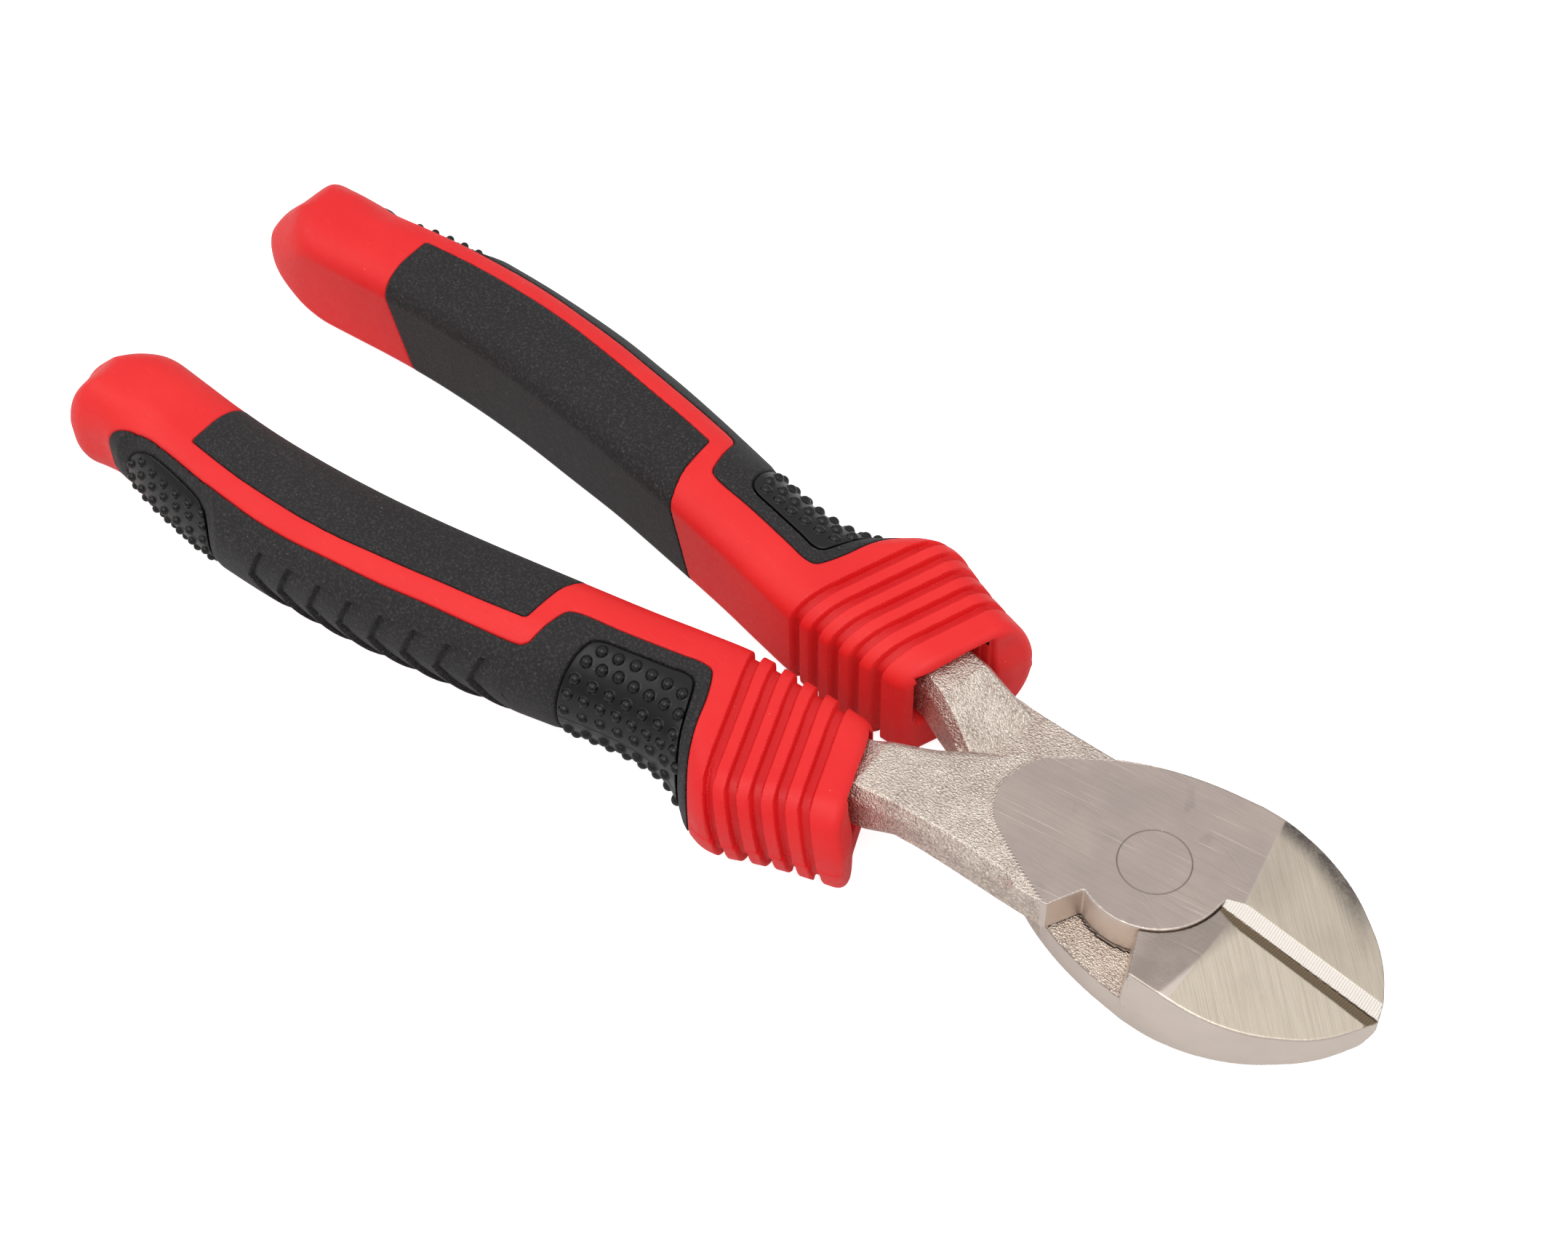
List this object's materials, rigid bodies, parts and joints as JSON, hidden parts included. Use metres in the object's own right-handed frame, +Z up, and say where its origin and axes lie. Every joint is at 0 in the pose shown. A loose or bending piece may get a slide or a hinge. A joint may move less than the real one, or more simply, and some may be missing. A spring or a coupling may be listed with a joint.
{
  "type": "diagonal cutting pliers",
  "caption": "Lap-joint diagonal cutting pliers with ground steel jaws, a flush pivot rivet and two-colour cushioned sleeves with ribbed guards and studded pads.",
  "frame": {"origin": "pivot axis at the ground underside of the head", "axes": "+X towards the tip of the jaws, +Z up out of the ground head along the pivot axis, +Y to the side of the upper half's jaw"},
  "size_m": [0.203, 0.0632, 0.0185],
  "materials": {
    "forged_steel": "satin nickel over forged and ground steel",
    "rivet_steel": "ground flush",
    "red_sleeve": "matt moulded",
    "black_inlay": "matt, finely speckled",
    "studded_pad": "polished, studded"
  },
  "bodies": {
    "lower_half": {"lower_half_jaw_and_tang": "forged_steel", "lower_grip_sleeve_red": "red_sleeve", "lower_grip_inner_inlay": "black_inlay", "lower_grip_outer_inlay": "black_inlay", "lower_grip_front_pad": "studded_pad", "lower_grip_rear_pad": "studded_pad"},
    "upper_half": {"upper_half_jaw_and_tang": "forged_steel", "pivot_rivet": "rivet_steel", "upper_grip_sleeve_red": "red_sleeve", "upper_grip_inner_inlay": "black_inlay", "upper_grip_outer_inlay": "black_inlay", "upper_grip_front_pad": "studded_pad", "upper_grip_rear_pad": "studded_pad"}
  },
  "joints": [
    {"name": "jaw_pivot", "type": "hinge", "parent": "lower_half", "child": "upper_half", "pos_m": [0, 0, 0.0057], "axis": [0, 0, 1], "range_deg": [0, 45]}
  ]
}
